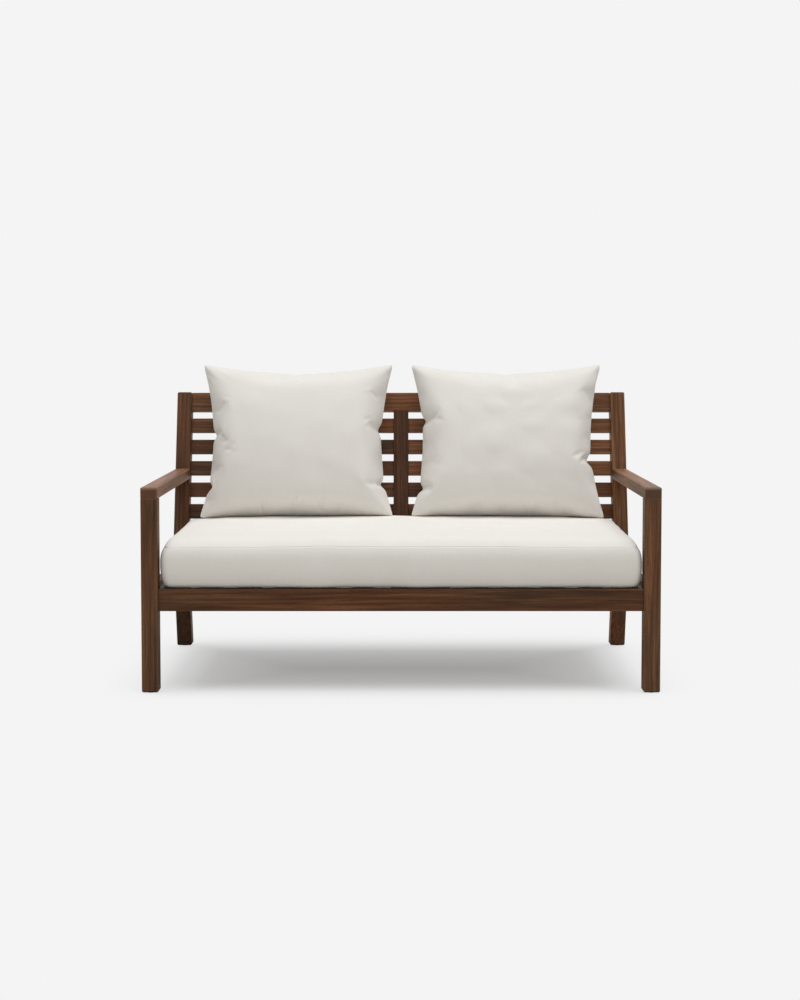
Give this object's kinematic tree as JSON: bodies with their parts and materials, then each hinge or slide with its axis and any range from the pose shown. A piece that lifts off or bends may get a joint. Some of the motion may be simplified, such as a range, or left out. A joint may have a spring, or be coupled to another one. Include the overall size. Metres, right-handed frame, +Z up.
{
  "type": "cushioned bench",
  "caption": "Wooden patio bench with a slatted raked back, square arms, a loose box seat cushion and loose back pillows.",
  "frame": {"origin": "on the ground, at the middle of the bench's length and depth", "axes": "+Z up, +X along the bench to the right as seen from the front, +Y from front to back"},
  "size_m": [1.45, 0.793, 0.9082],
  "materials": {
    "dark_wood": "oiled walnut-brown hardwood with open grain",
    "cushion_cloth": "plain-woven off-white outdoor canvas",
    "zip_tape": "woven tape with a moulded coil",
    "zinc_steel": "zinc-plated",
    "zip_metal": "satin nickel",
    "nylon": "moulded, dark brown"
  },
  "bodies": {
    "frame": {"armrest_left": "dark_wood", "armrest_right": "dark_wood", "back_slat_left_1": "dark_wood", "back_slat_left_2": "dark_wood", "back_slat_left_3": "dark_wood", "back_slat_left_4": "dark_wood", "back_slat_left_5": "dark_wood", "back_slat_right_1": "dark_wood", "back_slat_right_2": "dark_wood", "back_slat_right_3": "dark_wood", "back_slat_right_4": "dark_wood", "back_slat_right_5": "dark_wood", "back_stile": "dark_wood", "barrel_nuts": "zinc_steel", "corner_blocks": "dark_wood", "frame_bolts": "zinc_steel", "front_apron": "dark_wood", "front_ledger": "dark_wood", "front_leg_left": "dark_wood", "front_leg_right": "dark_wood", "ledger_screws": "zinc_steel", "leg_glides": "nylon", "lower_back_rail": "dark_wood", "middle_stretcher": "dark_wood", "rear_apron": "dark_wood", "rear_ledger": "dark_wood", "rear_leg_left": "dark_wood", "rear_leg_right": "dark_wood", "seat_slat_1": "dark_wood", "seat_slat_10": "dark_wood", "seat_slat_11": "dark_wood", "seat_slat_12": "dark_wood", "seat_slat_13": "dark_wood", "seat_slat_2": "dark_wood", "seat_slat_3": "dark_wood", "seat_slat_4": "dark_wood", "seat_slat_5": "dark_wood", "seat_slat_6": "dark_wood", "seat_slat_7": "dark_wood", "seat_slat_8": "dark_wood", "seat_slat_9": "dark_wood", "side_rail_left": "dark_wood", "side_rail_right": "dark_wood", "slat_screws": "zinc_steel", "top_back_rail": "dark_wood"},
    "seat_cushion": {"seat_cushion": "cushion_cloth", "cushion_zip": "zip_tape"},
    "zip_slider": {"zip_slider": "zip_metal"},
    "pillow_left": {"pillow_left": "cushion_cloth"},
    "pillow_right": {"pillow_right": "cushion_cloth"}
  },
  "joints": [
    {"name": "seat_cushion_lift", "type": "slide", "parent": "frame", "child": "seat_cushion", "axis": [0, 0, 1], "range_m": [0, 0.25]},
    {"name": "pillow_left_lift", "type": "slide", "parent": "seat_cushion", "child": "pillow_left", "axis": [0, 0, 1], "range_m": [0, 0.3]},
    {"name": "pillow_right_lift", "type": "slide", "parent": "seat_cushion", "child": "pillow_right", "axis": [0, 0, 1], "range_m": [0, 0.3]},
    {"name": "zip_travel", "type": "slide", "parent": "seat_cushion", "child": "zip_slider", "axis": [1, 0, 0], "range_m": [0, 1.03]}
  ]
}
